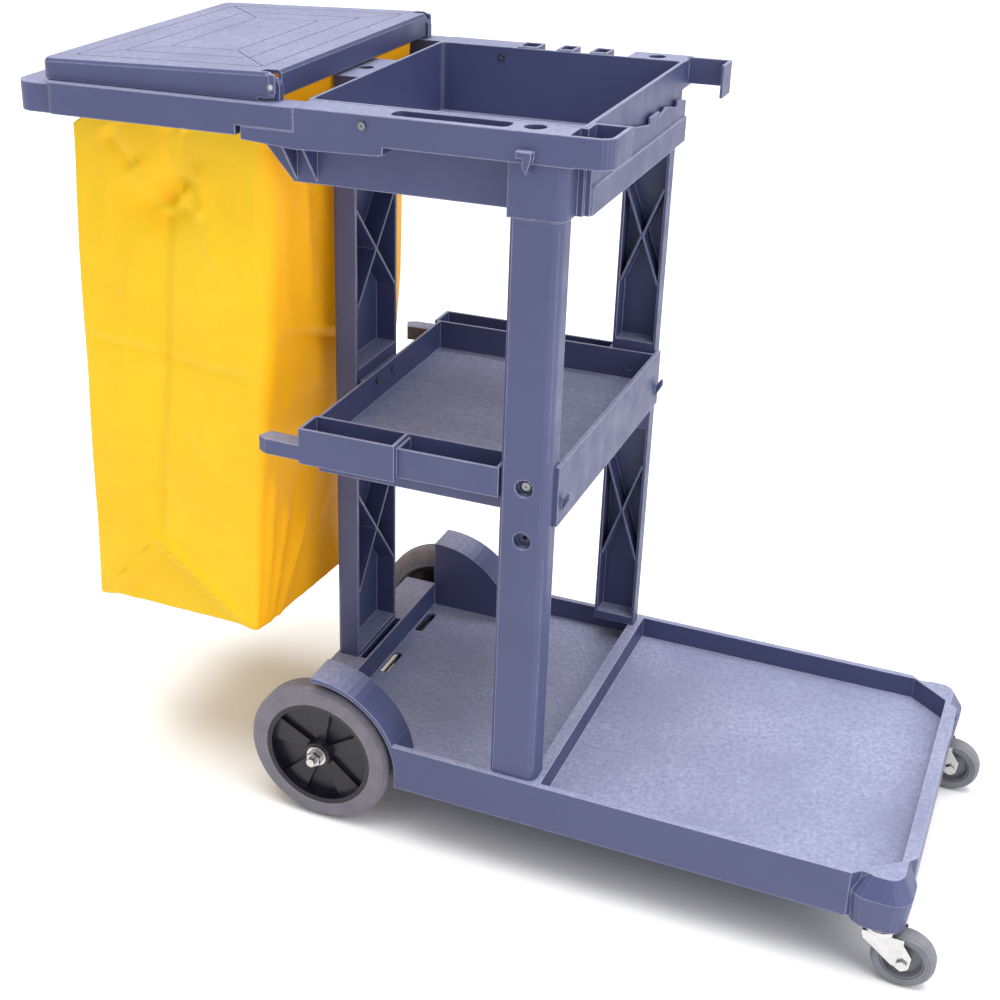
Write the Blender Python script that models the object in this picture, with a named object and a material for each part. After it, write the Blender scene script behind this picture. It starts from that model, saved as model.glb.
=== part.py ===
"""Housekeeping cart: moulded base, three posts, two trays, bag frame with lid, bag, wheels, casters.

Sizes are millimetres in the builders below and metres in the finished objects (MM converts).
+X points from the push handle to the load platform, +Y to the far side, +Z up.
The origin is on the floor, under the middle of the cart.
"""
import math

import bmesh
import bpy
from mathutils import Matrix, Vector

MM = 0.001
GAP = 0.3                      # clearance between parts that touch

# Driving dimensions, in millimetres
HALF_LENGTH = 604.0            # push handle and caster treads reach this far from the middle
HALF_WIDTH = 232.0             # outer faces of the base, tray rails and bag frame
WALL = 4.0                     # general moulded wall
BODY_LIFT = 4.0                # body heights count from a datum this far above the floor
WHEEL_R, WHEEL_W = 102.5, 38.0
ARCH_Z = 100.0
CASTER_R, CASTER_W = 37.5, 24.0
AXLE_X = -200.0
WHEEL_Y = 210.0
BASE_BOTTOM, BASE_TOP, DECK_Z = 84.0, 147.0, 116.0
BASE_FRONT, BASE_REAR = 562.0, -252.0
DIVIDER_X = 104.5
LEDGE_X, LEDGE_TOP = -205.0, 153.0
FENDER_R, FENDER_Y = 121.0, 180.0
POST_X0, POST_X1 = 45.0, 105.0
POST_OUT, POST_IN = 226.0, 196.0
REAR_POST_X0, REAR_POST_X1, REAR_POST_Y = -250.0, -218.0, 62.0
POST_TOP = 869.0
SHELF_TOP, SHELF_FLOOR, SHELF_BOTTOM = 576.0, 536.0, 502.0
SHELF_X0, SHELF_X1, SHELF_Y = -209.0, 110.0, 190.0
TRAY_TOP, TRAY_FLOOR, TRAY_BOTTOM = 965.0, 876.0, 870.0
TRAY_X0, TRAY_X1, TRAY_Y = -213.0, 115.0, 190.0
RAIL_BOTTOM = 930.0
CORNER_X = 157.0
FRAME_X0, FRAME_X1 = -549.0, -211.5
FRAME_Z0, FRAME_Z1 = 926.0, 963.5
RAIL_IN = 198.0
LID_X0, LID_X1, LID_Y = -556.0, -240.0, 220.0
LID_BOTTOM, LID_TOP_REAR, LID_RISE = 964.5, 989.0, 8.0
HINGE_X, HINGE_Z = -246.0, 980.0
BAG_TOP, BAG_BOTTOM, BAG_WALL = 955.0, 240.0, 4.0
CASTER_AXLE_X = HALF_LENGTH - CASTER_R
CASTER_Y, CASTER_TRAIL = 212.0, 30.0
SWIVEL_X = CASTER_AXLE_X - CASTER_TRAIL
BOSS_BOTTOM = 78.0

SLATE = (0.115, 0.125, 0.27)
YELLOW = (0.92, 0.55, 0.02)
GREY_RUBBER = (0.33, 0.31, 0.33)
BLACK = (0.012, 0.010, 0.022)
ZINC = (0.62, 0.62, 0.60)
GREY_PLASTIC = (0.16, 0.16, 0.19)


# ---------------------------------------------------------------- helpers
def clear_scene():
    for old in list(bpy.data.objects):
        bpy.data.objects.remove(old)


def material(name, colour, roughness, metallic=0.0):
    mat = bpy.data.materials.new(name)
    mat.use_nodes = True
    shader = mat.node_tree.nodes["Principled BSDF"]
    shader.inputs["Base Color"].default_value = (*colour, 1.0)
    shader.inputs["Roughness"].default_value = roughness
    shader.inputs["Metallic"].default_value = metallic
    return mat


def from_points(points, faces):
    mesh = bpy.data.meshes.new("shape")
    mesh.from_pydata([Vector(p) * MM for p in points], [], faces)
    work = bmesh.new()
    work.from_mesh(mesh)
    bmesh.ops.recalc_face_normals(work, faces=work.faces)
    work.to_mesh(mesh)
    work.free()
    shape = bpy.data.objects.new("shape", mesh)
    bpy.context.scene.collection.objects.link(shape)
    return shape


def loft(low, high):
    """Closed solid between two outlines with the same number of 3-D points."""
    count = len(low)
    sides = [(i, (i + 1) % count, count + (i + 1) % count, count + i) for i in range(count)]
    ends = [tuple(range(count))[::-1], tuple(range(count, 2 * count))]
    return from_points(list(low) + list(high), sides + ends)


def prism(outline, axis, start, end):
    """Outline of (a, b) points pushed along axis; (a, b) are the other two axes in x, y, z order."""
    def place(a, b, c):
        return {"x": (c, a, b), "y": (a, c, b), "z": (a, b, c)}[axis]
    return loft([place(a, b, start) for a, b in outline], [place(a, b, end) for a, b in outline])


def box(x0, x1, y0, y1, z0, z1):
    return prism([(x0, y0), (x1, y0), (x1, y1), (x0, y1)], "z", z0, z1)


def arc(centre, radius, start, end, steps):
    """Points on an arc, angles in degrees."""
    points = []
    for i in range(steps + 1):
        angle = math.radians(start + (end - start) * i / steps)
        points.append((centre[0] + radius * math.cos(angle), centre[1] + radius * math.sin(angle)))
    return points


def rounded(a0, a1, b0, b1, radius, steps=4):
    """Rectangle outline with round corners."""
    corners = [((a1 - radius, b0 + radius), -90), ((a1 - radius, b1 - radius), 0),
               ((a0 + radius, b1 - radius), 90), ((a0 + radius, b0 + radius), 180)]
    points = []
    for centre, start in corners:
        points += arc(centre, radius, start, start + 90, steps)
    return points


def rod(axis, centre, radius, start, end, sides=24):
    return prism(arc(centre, radius, 0, 360 - 360 / sides, sides - 1), axis, start, end)


def turned(axis, centre, profile, sides):
    """Ring or disc turned about an axis; profile holds closed (radius, along) points."""
    points = []
    faces = []
    count = len(profile)
    for i in range(sides):
        angle = 2 * math.pi * i / sides
        for radius, along in profile:
            a = centre[0] + radius * math.cos(angle)
            b = centre[1] + radius * math.sin(angle)
            points.append({"y": (a, along, b), "z": (a, b, along)}[axis])
    for i in range(sides):
        near, far = i * count, (i + 1) % sides * count
        for j in range(count):
            k = (j + 1) % count
            faces.append((near + j, far + j, far + k, near + k))
    return from_points(points, faces)


def boolean(body, tool, operation):
    step = body.modifiers.new("step", "BOOLEAN")
    step.operation = operation
    step.solver = "EXACT"
    step.object = tool
    graph = bpy.context.evaluated_depsgraph_get()
    mesh = bpy.data.meshes.new_from_object(body.evaluated_get(graph))
    body.modifiers.clear()
    body.data = mesh
    bpy.data.objects.remove(tool)


def finish(name, solids, cuts, mat, smooth=None):
    """Joins the solids, takes the cuts away, and names the node."""
    body = solids[0]
    for other in solids[1:]:
        boolean(body, other, "UNION")
    for tool in cuts:
        boolean(body, tool, "DIFFERENCE")
    body.name = name
    body.data.name = name
    body.data.materials.clear()
    body.data.materials.append(mat)
    if smooth:
        body.data.shade_smooth()
        body.data.set_sharp_from_angle(angle=math.radians(smooth))
    return body


def set_origin(body, point):
    """Puts a moving piece's origin on its joint axis."""
    origin = Vector(point) * MM
    body.data.transform(Matrix.Translation(-origin))
    body.location = origin


# ---------------------------------------------------------------- base
def corner_boss(side):
    """Swollen front corner that carries a caster: round skirt with a sloping cap."""
    def outline(inset, z):
        low, high = sorted((side * (HALF_WIDTH + 8 - inset), side * 168))
        return [(x, y, z) for x, y in rounded(494 + inset, BASE_FRONT + 5 - inset, low, high, 24 - inset / 2, 5)]
    skirt = loft(outline(4, BOSS_BOTTOM), outline(0, 121))
    cap = loft(outline(0, 121), outline(14, BASE_TOP))
    return [skirt, cap]


def fender(side):
    """Wheel arch over the front half of a rear wheel, open below and behind."""
    start = math.degrees(math.acos((LEDGE_X - 1 - AXLE_X) / FENDER_R))
    end = math.degrees(math.asin((BASE_TOP - 4 - ARCH_Z) / FENDER_R))
    top = arc((AXLE_X, ARCH_Z), FENDER_R, start, end, 14)
    outline = top + [(AXLE_X + FENDER_R + 6, BASE_BOTTOM), (LEDGE_X - 1, BASE_BOTTOM)]
    low, high = sorted((side * FENDER_Y, side * HALF_WIDTH))
    return prism(outline, "y", low, high)


def wheel_well(side):
    low, high = sorted((side * (FENDER_Y + WALL), side * (HALF_WIDTH + 20)))
    return rod("y", (AXLE_X, ARCH_Z), FENDER_R - 6, low, high, 48)


def build_base(mat):
    inner = HALF_WIDTH - 8
    half = [(LEDGE_X - 10, HALF_WIDTH), (496, HALF_WIDTH), (506, HALF_WIDTH - 9), (536, HALF_WIDTH - 9),
            (551, 207), (551, 184), (BASE_FRONT, 172)]
    plan = [(x, -y) for x, y in half] + half[::-1]
    solids = [prism(plan, "z", BASE_BOTTOM, BASE_TOP),
              box(BASE_REAR, LEDGE_X, -FENDER_Y, FENDER_Y, BASE_BOTTOM, LEDGE_TOP)]
    platform = [(DIVIDER_X + 8, -inner), (500, -inner), (546, -186), (546, 186), (500, inner),
                (DIVIDER_X + 8, inner)]
    bay = arc((AXLE_X, ARCH_Z), FENDER_R, 24, 7.6, 5) + [(DIVIDER_X - 8, DECK_Z), (DIVIDER_X - 8, BASE_TOP + 9),
                                                         (AXLE_X + FENDER_R - 10, BASE_TOP + 9)]
    cuts = [prism(platform, "z", DECK_Z, LEDGE_TOP + 20),
            box(LEDGE_X, DIVIDER_X - 8, -FENDER_Y, FENDER_Y, DECK_Z, LEDGE_TOP + 20),
            prism(bay, "y", FENDER_Y - 5, inner), prism(bay, "y", -inner, -FENDER_Y + 5)]
    floor = DECK_Z - WALL
    ribs = (-70, 22, 112, 220, 328, 436)
    for x0, x1 in zip(ribs[:-1], ribs[1:]):
        cuts.append(box(x0, x1 - WALL, -inner, -2, BASE_BOTTOM - 20, floor))
        cuts.append(box(x0, x1 - WALL, 2, inner, BASE_BOTTOM - 20, floor))
    cuts.append(box(436, 496, -inner, inner, BASE_BOTTOM - 20, floor))
    cuts.append(box(500, BASE_FRONT - 8, -156, 156, BASE_BOTTOM - 20, floor))
    cuts.append(box(BASE_REAR + WALL, -74, -FENDER_Y + WALL, FENDER_Y - WALL, BASE_BOTTOM - 20, floor))
    for side in (-1, 1):
        solids.append(fender(side))
        solids += corner_boss(side)
        low, high = sorted((side * (POST_IN - 8), side * HALF_WIDTH))
        solids.append(box(POST_X0 - 6, DIVIDER_X, low, high, floor, BASE_TOP))
        cuts.append(wheel_well(side))
        cuts.append(box(BASE_REAR - 20, LEDGE_X - 1, *sorted((side * (FENDER_Y + WALL), side * 260)), 0, 300))
        cuts.append(rod("z", (SWIVEL_X, side * CASTER_Y), 6.5, BOSS_BOTTOM - 10, 130, 20))
    for y in (-125, 0, 125):
        cuts.append(prism(rounded(-203, -189, y - 28, y + 28, 5, 3), "z", 60, DECK_Z + 20))
    cuts.append(box(REAR_POST_X1 + 0.5, REAR_POST_X1 + 10, -REAR_POST_Y + 2, REAR_POST_Y - 2, 122, 200))
    cuts.append(rod("y", (AXLE_X, WHEEL_R - BODY_LIFT), 6.5, -260, 260, 20))
    post_wells = [box(POST_X0, POST_X1 - 12, *sorted((side * (POST_IN - 9), side * (POST_IN - 1))), 122, 200)
                  for side in (-1, 1)]
    return finish("base", solids, cuts + post_wells, mat, 32)


# ---------------------------------------------------------------- posts
def cross_pockets(centre, half_width, half_height, rib):
    """Four triangles left open by an X of two ribs, as (across, up) outlines."""
    w, h = half_width, half_height
    t = rib
    return [[(centre[0] - w + t, centre[1] - h), (centre[0] + w - t, centre[1] - h), (centre[0], centre[1] - t)],
            [(centre[0] - w + t, centre[1] + h), (centre[0], centre[1] + t), (centre[0] + w - t, centre[1] + h)],
            [(centre[0] - w, centre[1] - h + t), (centre[0] - t, centre[1]), (centre[0] - w, centre[1] + h - t)],
            [(centre[0] + w, centre[1] - h + t), (centre[0] + w, centre[1] + h - t), (centre[0] + t, centre[1])]]


POCKETS = ((160.0, 462.0), (588.0, 860.0))     # lower and upper pocket of each post
X_CENTRES = ((330.0, 75.0), (735.0, 65.0))     # height and half height of each X


def pocket_cuts(across0, across1, axis, shallow, deep):
    """Pockets of a channel post with one X-rib each; the post opens along axis at shallow."""
    cuts = []
    middle, half = (across0 + across1) / 2, (across1 - across0) / 2
    low, high = sorted((shallow, deep))
    for (z0, z1), (xz, xh) in zip(POCKETS, X_CENTRES):
        cuts.append(prism([(across0, z0), (across1, z0), (across1, xz - xh), (across0, xz - xh)], axis, low, high))
        cuts.append(prism([(across0, xz + xh), (across1, xz + xh), (across1, z1), (across0, z1)], axis, low, high))
        for outline in cross_pockets((middle, xz), half, xh, 2.2):
            cuts.append(prism(outline, axis, low, high))
    return cuts


def build_front_post(name, side, mat):
    foot, top = BASE_TOP + GAP, POST_TOP - 3 * GAP
    r = 12
    out, inn = side * POST_OUT, side * POST_IN
    turn = side * r
    outline = [(POST_X0, inn), (POST_X1, inn)]
    outline += [(POST_X1 - r + r * math.sin(a), out - turn + turn * math.cos(a))
                for a in [math.radians(90 - 15 * i) for i in range(7)]]
    outline += [(POST_X0 + 4, out), (POST_X0, out - side * 4)]
    solid = prism(outline, "z", foot, top)
    cuts = pocket_cuts(POST_X0 + WALL, POST_X1 - WALL, "y", inn - side * 5, out - side * WALL)
    middle = (POST_X0 + POST_X1) / 2
    for z in (551, 483):
        low, high = sorted((out + side * 5, out - side * 10))
        cuts.append(rod("y", (middle, z), 11, low, high, 24))
        low, high = sorted((out + side * 5, inn - side * 5))
        cuts.append(rod("y", (middle, z), 3.2, low, high, 16))
    return finish(name, [solid], cuts, mat, 30)


def build_rear_post(mat):
    solid = prism([(REAR_POST_X1, -REAR_POST_Y), (REAR_POST_X1, REAR_POST_Y)]
                  + arc((REAR_POST_X0 + 6, REAR_POST_Y - 6), 6, 90, 180, 4)
                  + arc((REAR_POST_X0 + 6, -REAR_POST_Y + 6), 6, 180, 270, 4),
                  "z", LEDGE_TOP + GAP, POST_TOP - 3 * GAP)
    cuts = pocket_cuts(-REAR_POST_Y + WALL, REAR_POST_Y - WALL, "x", REAR_POST_X1 + 5, REAR_POST_X0 + WALL)
    cuts.append(rod("x", (-24, 563), 3.2, REAR_POST_X0 + WALL, REAR_POST_X1 + 5, 16))
    cuts.append(rod("x", (24, 563), 3.2, REAR_POST_X0 + WALL, REAR_POST_X1 + 5, 16))
    return finish("rear_post", [solid], cuts, mat, 30)


# ---------------------------------------------------------------- middle shelf
def side_pockets(side):
    """Two bottle pockets and a hook arm along one long side of the shelf."""
    def span(near, far):
        return sorted((side * near, side * far))
    solids = [box(-215, -87, *span(SHELF_Y - 2, HALF_WIDTH), 529, SHELF_TOP),
              box(-87.5, POST_X0 - 2, *span(SHELF_Y - 2, HALF_WIDTH - 7), 533, SHELF_TOP - 5)]
    arm = [(-214, side * HALF_WIDTH), (-262, side * (HALF_WIDTH - 1)), (-274, side * (HALF_WIDTH - 8)),
           (-266, side * (HALF_WIDTH - 26)), (-214, side * (HALF_WIDTH - 24))]
    solids.append(prism(arm, "z", 533, 553))
    cuts = [box(-211, -91, *span(SHELF_Y, HALF_WIDTH - 3), 533, SHELF_TOP + 20),
            box(-84, POST_X0 - 6, *span(SHELF_Y, HALF_WIDTH - 10), 537, SHELF_TOP + 20)]
    return solids, cuts


def build_shelf(mat):
    front = POST_X1 + GAP
    solids = [box(SHELF_X0, front, -SHELF_Y, SHELF_Y, SHELF_BOTTOM, SHELF_TOP),
              box(front - 0.1, front + 5, -206, 206, SHELF_BOTTOM - 2, SHELF_TOP)]
    cuts = [box(SHELF_X0 + 3, front - 0.5, -SHELF_Y + 3, SHELF_Y - 3, SHELF_FLOOR, SHELF_TOP + 20),
            box(SHELF_X0 + 3, front - 0.5, -SHELF_Y + 3, -2, SHELF_BOTTOM - 20, SHELF_FLOOR - WALL),
            box(SHELF_X0 + 3, front - 0.5, 2, SHELF_Y - 3, SHELF_BOTTOM - 20, SHELF_FLOOR - WALL)]
    middle = (POST_X0 + POST_X1) / 2
    for side in (-1, 1):
        more_solids, more_cuts = side_pockets(side)
        solids += more_solids
        cuts += more_cuts
        low, high = sorted((side * (SHELF_Y - 1), side * (POST_IN - GAP)))
        solids.append(box(POST_X0 + 2, POST_X1 - 2, low, high, 522, SHELF_TOP - 4))
        hook = [(front + 4.5, 512), (front + 15, 532), (front + 15, 540), (front + 12, 540), (front + 4.5, 528)]
        low, high = sorted((side * 190, side * 194))
        solids.append(prism(hook, "y", low, high))
        low, high = sorted((side * 150, side * (POST_IN + 5)))
        cuts.append(rod("y", (middle, 551), 2.6, low, high, 12))
    solids.append(box(REAR_POST_X1 + GAP, SHELF_X0 + 1, -REAR_POST_Y + 8, REAR_POST_Y - 8, 512, SHELF_TOP - 4))
    for y in (-24, 24):
        cuts.append(rod("x", (y, 563), 2.6, REAR_POST_X1 - 5, SHELF_X0 + 20, 12))
    return finish("middle_shelf", solids, cuts, mat)


# ---------------------------------------------------------------- top tray
def tray_arm(side):
    """Arm that takes the end of the bag frame, with a lip below it and a gusseted wing."""
    def span(near, far):
        return sorted((side * near, side * far))
    lip = [(TRAY_X0 + 2, 917), (-106, 920), (-106, 936.8), (-279, 936.8), (-279, 922)]
    wing = [(-281, 921), (-234, 868), (TRAY_X0 + 30, 868), (TRAY_X0 + 30, 921)]
    outside = HALF_WIDTH
    solids = [box(FRAME_X1 + GAP, -102, *span(TRAY_Y - 2, outside), 921, TRAY_TOP - 1),
              prism(lip, "y", *span(TRAY_Y - 1, outside)),
              prism(wing, "y", *span(TRAY_Y - 3, TRAY_Y))]
    for x in (-232, -206):
        gusset = [(side * (TRAY_Y - 1), 870), (side * (TRAY_Y - 1), 922), (side * (outside - 4), 922)]
        solids.append(prism(gusset, "x", x, x + 2.5))
    return solids


def near_rail():
    """Near side rail: slot pocket, round tool hole and corner pocket."""
    solids = [box(-104, TRAY_X1, -HALF_WIDTH, -TRAY_Y + 2, RAIL_BOTTOM, TRAY_TOP - 1)]
    cuts = [prism(rounded(-100, 38, -222, -196, 9, 4), "z", RAIL_BOTTOM + WALL, TRAY_TOP + 20),
            rod("z", (64, -207), 12.5, RAIL_BOTTOM - 90, TRAY_TOP + 20, 28)]
    return solids, cuts


def front_pocket():
    """Round-cornered pocket that sticks out at the near front corner."""
    plan = [(TRAY_X1 - 3, -165), (TRAY_X1 - 3, -HALF_WIDTH)]
    plan += arc((CORNER_X - 16, -HALF_WIDTH + 16), 16, -90, 0, 5) + [(CORNER_X, -165)]
    block = prism(plan, "z", RAIL_BOTTOM + 1, TRAY_TOP - 1)
    inner = [(TRAY_X1 + 3, -169), (TRAY_X1 + 3, -193), (TRAY_X1 - 6, -193), (TRAY_X1 - 6, -HALF_WIDTH + 4)]
    inner += arc((CORNER_X - 16, -HALF_WIDTH + 16), 12, -90, 0, 5) + [(CORNER_X - WALL, -169)]
    return [block], [prism(inner, "z", RAIL_BOTTOM + WALL, TRAY_TOP + 20)]


def front_comb():
    """Saw-toothed wall in front of the compartment, standing on a thicker strip."""
    low = TRAY_BOTTOM - 2
    teeth = [(-186, low), (186, low), (186, 919), (148, 926), (146, 918), (98, 928), (68, 921), (66, 929),
             (31, 929), (29, 921), (-25, 930), (-45, 935), (-186, 935)]
    solids = [prism(teeth, "x", TRAY_X1 - 0.5, TRAY_X1 + 6.5),
              box(TRAY_X1 - 0.5, TRAY_X1 + 9, -183, 186, low, 899)]
    return solids, [box(TRAY_X1, TRAY_X1 + 3.5, -160, 180, 903, TRAY_TOP + 20)]


def far_rail():
    """Far side rail: flat stretches, three open hooks and a long hanger arm."""
    z0, z1 = RAIL_BOTTOM, TRAY_TOP - 1
    hooks = ((-105, -78), (-52, -30), (-8, 15))
    solids = [box(40, TRAY_X1, TRAY_Y - 2, HALF_WIDTH, z0, z1)]
    for x0, x1 in hooks:
        solids.append(box(x0, x1, TRAY_Y - 2, 220, 936, TRAY_TOP + 2))
    solids.append(box(TRAY_X1 - 2, 168, 212, 215.5, 934, 966))
    solids.append(box(164.5, 168, 178, 215.5, 926, 966))
    cuts = [rod("z", (74, 211), 11, z0 - 10, TRAY_TOP + 20, 28)]
    for x0, x1 in hooks:
        cuts.append(box(x0 + 3, x1 - 3, TRAY_Y + 3, 217, 930, TRAY_TOP + 20))
    return solids, cuts


def build_tray(mat):
    solids = [box(TRAY_X0, TRAY_X1, -TRAY_Y, TRAY_Y, TRAY_BOTTOM - 2, TRAY_TOP)]
    cuts = [prism(rounded(TRAY_X0 + 3, TRAY_X1 - 4, -TRAY_Y + 3, TRAY_Y - 3, 6, 3), "z", TRAY_FLOOR, TRAY_TOP + 20)]
    for side in (-1, 1):
        solids += tray_arm(side)
        outline = [(POST_X0 - 3, side * (TRAY_Y - 3)), (POST_X1 + 3, side * (TRAY_Y - 3))]
        turn = side * 12
        outline += [(POST_X1 - 9 + 12 * math.sin(a), side * (POST_OUT + 1) - turn + turn * math.cos(a))
                    for a in [math.radians(90 - 15 * i) for i in range(7)]]
        outline += [(POST_X0 - 3, side * (POST_OUT + 1))]
        solids.append(prism(outline, "z", POST_TOP, TRAY_TOP - 4))
    post_cap = rounded(REAR_POST_X0 - 1, TRAY_X0 + 1, -55, 55, 3, 2)
    solids.append(prism(post_cap, "z", POST_TOP, TRAY_TOP - 1))
    cuts.append(rod("z", (-232, 0), 10, 900, TRAY_TOP + 20, 24))
    for maker in (near_rail, front_pocket, front_comb, far_rail):
        more_solids, more_cuts = maker()
        solids += more_solids
        cuts += more_cuts
    hook = [(54, 944), (72, 944), (72, 938), (67, 920), (62, 927), (62, 937), (54, 937)]
    solids.append(prism(hook, "y", -HALF_WIDTH - 8, -HALF_WIDTH + 2))
    for side in (-1, 1):
        low, high = sorted((side * 150, side * (HALF_WIDTH + 5)))
        cuts.append(rod("y", (-126, 952), 2.2, low, high, 12))
    return finish("top_tray", solids, cuts, mat, 32)


# ---------------------------------------------------------------- bag frame, lid and bag
def build_bag_frame(mat):
    y = HALF_WIDTH
    outer = arc((FRAME_X0 + 16, y - 16), 16, 90, 180, 5) + arc((FRAME_X0 + 16, -y + 16), 16, 180, 270, 5)
    outer += [(FRAME_X1, -y), (FRAME_X1, -RAIL_IN), (FRAME_X0 + 28, -RAIL_IN), (FRAME_X0 + 28, RAIL_IN),
              (FRAME_X1, RAIL_IN), (FRAME_X1, y)]
    handle = arc((-HALF_LENGTH + 28, y - 42), 28, 90, 180, 6) + arc((-HALF_LENGTH + 28, -y + 42), 28, 180, 270, 6)
    handle += [(FRAME_X0 + 4, -y + 14), (FRAME_X0 + 4, y - 14)]
    solids = [prism(outer, "z", FRAME_Z0, FRAME_Z1), prism(handle, "z", 923, 958)]
    cuts = [prism(rounded(-HALF_LENGTH + 24, FRAME_X0 - 1, -172, 172, 11, 4), "z", 900, 980)]
    for side in (-1, 1):
        low, high = sorted((side * 180, side * 260))
        cuts.append(box(-286, FRAME_X1 + 10, low, high, 900, 937.2))
        low, high = sorted((side * 204, side * 213.5))
        ear = [(HINGE_X + 9, FRAME_Z1 - 2), (HINGE_X + 9, HINGE_Z)]
        ear += arc((HINGE_X, HINGE_Z), 9, 0, 180, 8)[1:] + [(HINGE_X - 9, FRAME_Z1 - 2)]
        solids.append(prism(ear, "y", low, high))
        cuts.append(rod("y", (HINGE_X, HINGE_Z), 3.3, low - 5, high + 5, 20))
    for side in (-1, 1):
        low, high = sorted((side * (RAIL_IN - 10), side * (RAIL_IN + 1)))
        for x in (-480, -380, -300):
            solids.append(box(x, x + 6, low, high, FRAME_Z0 + 14, FRAME_Z0 + 20))
    return finish("bag_frame", solids, cuts, mat, 32)


def lid_slab(outline, low, below, above=None):
    """Solid over an outline, from a level z or a depth below the sloping lid top up to another depth."""
    def top(x):
        return LID_TOP_REAR + LID_RISE * (x - LID_X0) / (LID_X1 - LID_X0)
    bottom = [(x, y, top(x) - low if above is None else above) for x, y in outline]
    return loft(bottom, [(x, y, top(x) - below) for x, y in outline])


def lid_groove(near, half):
    """Groove along a rectangle, near from the lid's edges."""
    outer = rounded(LID_X0 + near - half, LID_X1 - near + half, -LID_Y + near - half, LID_Y - near + half, 7, 3)
    inner = rounded(LID_X0 + near + half, LID_X1 - near - half, -LID_Y + near + half, LID_Y - near - half, 5, 3)
    ring = lid_slab(outer, 1.4, -6)
    boolean(ring, lid_slab(inner, 4, -9), "DIFFERENCE")
    return ring


def build_lid(mat):
    """Shallow box lid, level below and rising a little towards its hinge, with grooved frames on top."""
    outline = rounded(LID_X0, LID_X1, -LID_Y, LID_Y, 12, 5)
    inset = rounded(LID_X0 + 3, LID_X1 - 3, -LID_Y + 3, LID_Y - 3, 10, 5)
    slope = LID_RISE / (LID_X1 - LID_X0)
    crown = loft([(x, y, LID_TOP_REAR + slope * (x - LID_X0) - 4) for x, y in outline],
                 [(x, y, LID_TOP_REAR + slope * (x - LID_X0)) for x, y in inset])
    solids = [lid_slab(outline, 0, 4, LID_BOTTOM), crown]
    hollow = rounded(LID_X0 + 4, LID_X1 - 4, -LID_Y + 4, LID_Y - 4, 8, 4)
    cuts = [lid_slab(hollow, 0, 4.5, LID_BOTTOM - 10),
            box(-262, LID_X1 + 10, -LID_Y - 10, LID_Y + 10, LID_BOTTOM - 10, LID_BOTTOM + 3.5)]
    grooves = (30, 72, 112)
    cuts += [lid_groove(near, 1.3) for near in grooves]
    for sx in (-1, 1):
        for sy in (-1, 1):
            middle, reach = (LID_X0 + LID_X1) / 2, (LID_X1 - LID_X0) / 2
            x0, y0 = middle + sx * (reach - grooves[0] - 3), sy * (LID_Y - grooves[0] - 3)
            x1, y1 = middle + sx * (reach - grooves[2] + 3), sy * (LID_Y - grooves[2] + 3)
            cuts.append(lid_slab([(x0 - 1, y0 + sx * sy), (x0 + 1, y0 - sx * sy), (x1 + 1, y1 - sx * sy),
                                  (x1 - 1, y1 + sx * sy)], 1.2, -6))
    top_z = LID_TOP_REAR + LID_RISE
    for side in (-1, 1):
        slot = sorted((side * 202, side * 215.5))
        cuts.append(box(HINGE_X - 14, LID_X1 + 10, *slot, LID_BOTTOM - 20, top_z + 20))
        web = rounded(HINGE_X - 8, HINGE_X + 6, HINGE_Z - 9, top_z - 2.5, 3, 2)
        knuckle = prism(web, "y", *sorted((side * 190, side * (LID_Y - 1))))
        boolean(knuckle, box(HINGE_X - 20, HINGE_X + 20, *slot, 900, 1100), "DIFFERENCE")
        solids.append(knuckle)
        cuts.append(rod("y", (HINGE_X, HINGE_Z), 3.3, *sorted((side * 185, side * 224)), 20))
    lid = finish("lid", solids, cuts, mat, 32)
    set_origin(lid, (HINGE_X, 0, HINGE_Z))
    return lid


def build_hinge_pin(name, side, mat):
    low, high = sorted((side * 194, side * 218.5))
    return finish(name, [rod("y", (HINGE_X, HINGE_Z), 3, low, high, 16)], [], mat, 40)


def build_bag(mat):
    """Open bag that hangs from the frame, leaning back towards its foot."""
    def ring(x0, x1, y, z, radius):
        return [(a, b, z) for a, b in rounded(x0, x1, -y, y, radius, 3)]
    wall = BAG_WALL
    levels = ((-560, -304, 185, BAG_BOTTOM, 8), (-548, -272, 186, 620, 10), (-540, -258, 186, 912, 10),
              (-519, -256, 186, 924, 10), (-519, -254, 186, BAG_TOP, 10))
    solids = [loft(ring(*low), ring(*high)) for low, high in zip(levels[:-1], levels[1:])]
    cuts = []
    for low, high in zip(levels[:-1], levels[1:]):
        def inside(level, lift):
            x0, x1, y, z, radius = level
            return ring(x0 + wall, x1 - wall, y - wall, z + lift, radius - wall)
        cuts.append(loft(inside(low, wall if low is levels[0] else -0.01),
                         inside(high, 5 if high is levels[-1] else 0)))
    return finish("bag", solids, cuts, mat, 40)


# ---------------------------------------------------------------- rear wheels
def build_rear_tyre(name, side, mat):
    half = WHEEL_W / 2
    y = side * WHEEL_Y
    profile = [(76.3, y - half + 1), (78, y - half), (91, y - half), (97, y - half + 3), (WHEEL_R, y - half + 9),
               (WHEEL_R, y + half - 9), (97, y + half - 3), (91, y + half), (78, y + half), (76.3, y + half - 1)]
    tyre = finish(name, [turned("y", (AXLE_X, WHEEL_R), profile, 64)], [], mat, 30)
    set_origin(tyre, (AXLE_X, y, WHEEL_R))
    return tyre


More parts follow.
